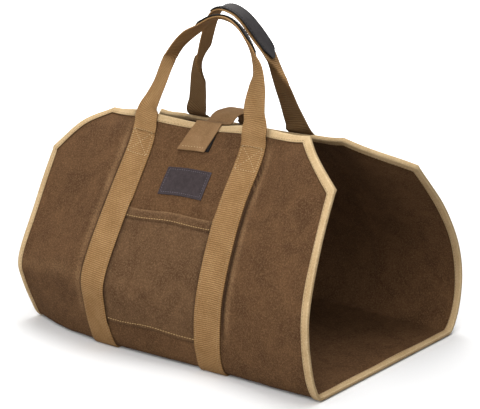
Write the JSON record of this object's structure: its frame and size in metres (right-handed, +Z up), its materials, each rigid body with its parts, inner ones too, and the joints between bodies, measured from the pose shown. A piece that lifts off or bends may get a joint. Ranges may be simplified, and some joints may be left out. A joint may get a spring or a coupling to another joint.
{
  "type": "canvas log carrier",
  "caption": "Log carrier of waxed canvas, open at both ends, with webbing straps and handles, leather grips, a patch pocket and a closure tab.",
  "frame": {"origin": "on the floor, under the middle of the whole carrier", "axes": "+X along the logs, to the open end that the picture shows; -Y to the front panel with the pocket; +Z up"},
  "size_m": [0.4652, 0.3496, 0.4116],
  "materials": {
    "waxed_canvas": "waxed brown cotton duck, matt, with lighter creases",
    "pocket_canvas": "waxed brown cotton duck, a little lighter",
    "binding_tape": "light tan cotton tape",
    "webbing": "tan cotton webbing, ribbed across",
    "closure_webbing": "taupe cotton webbing, fine twill",
    "grip_leather": "black leather, satin",
    "label_leather": "dark brown leather, satin",
    "hook_and_loop": "black hook-and-loop tape, matt"
  },
  "bodies": {
    "root": {"canvas_body": "waxed_canvas", "edge_binding": "binding_tape", "strap_left": "webbing", "strap_right": "webbing", "pocket_front": "pocket_canvas", "label": "label_leather", "handle_front": "webbing", "handle_back": "webbing", "grip_front": "grip_leather", "grip_back": "grip_leather", "closure_patch": "hook_and_loop", "closure_strap": "closure_webbing"}
  },
  "joints": []
}
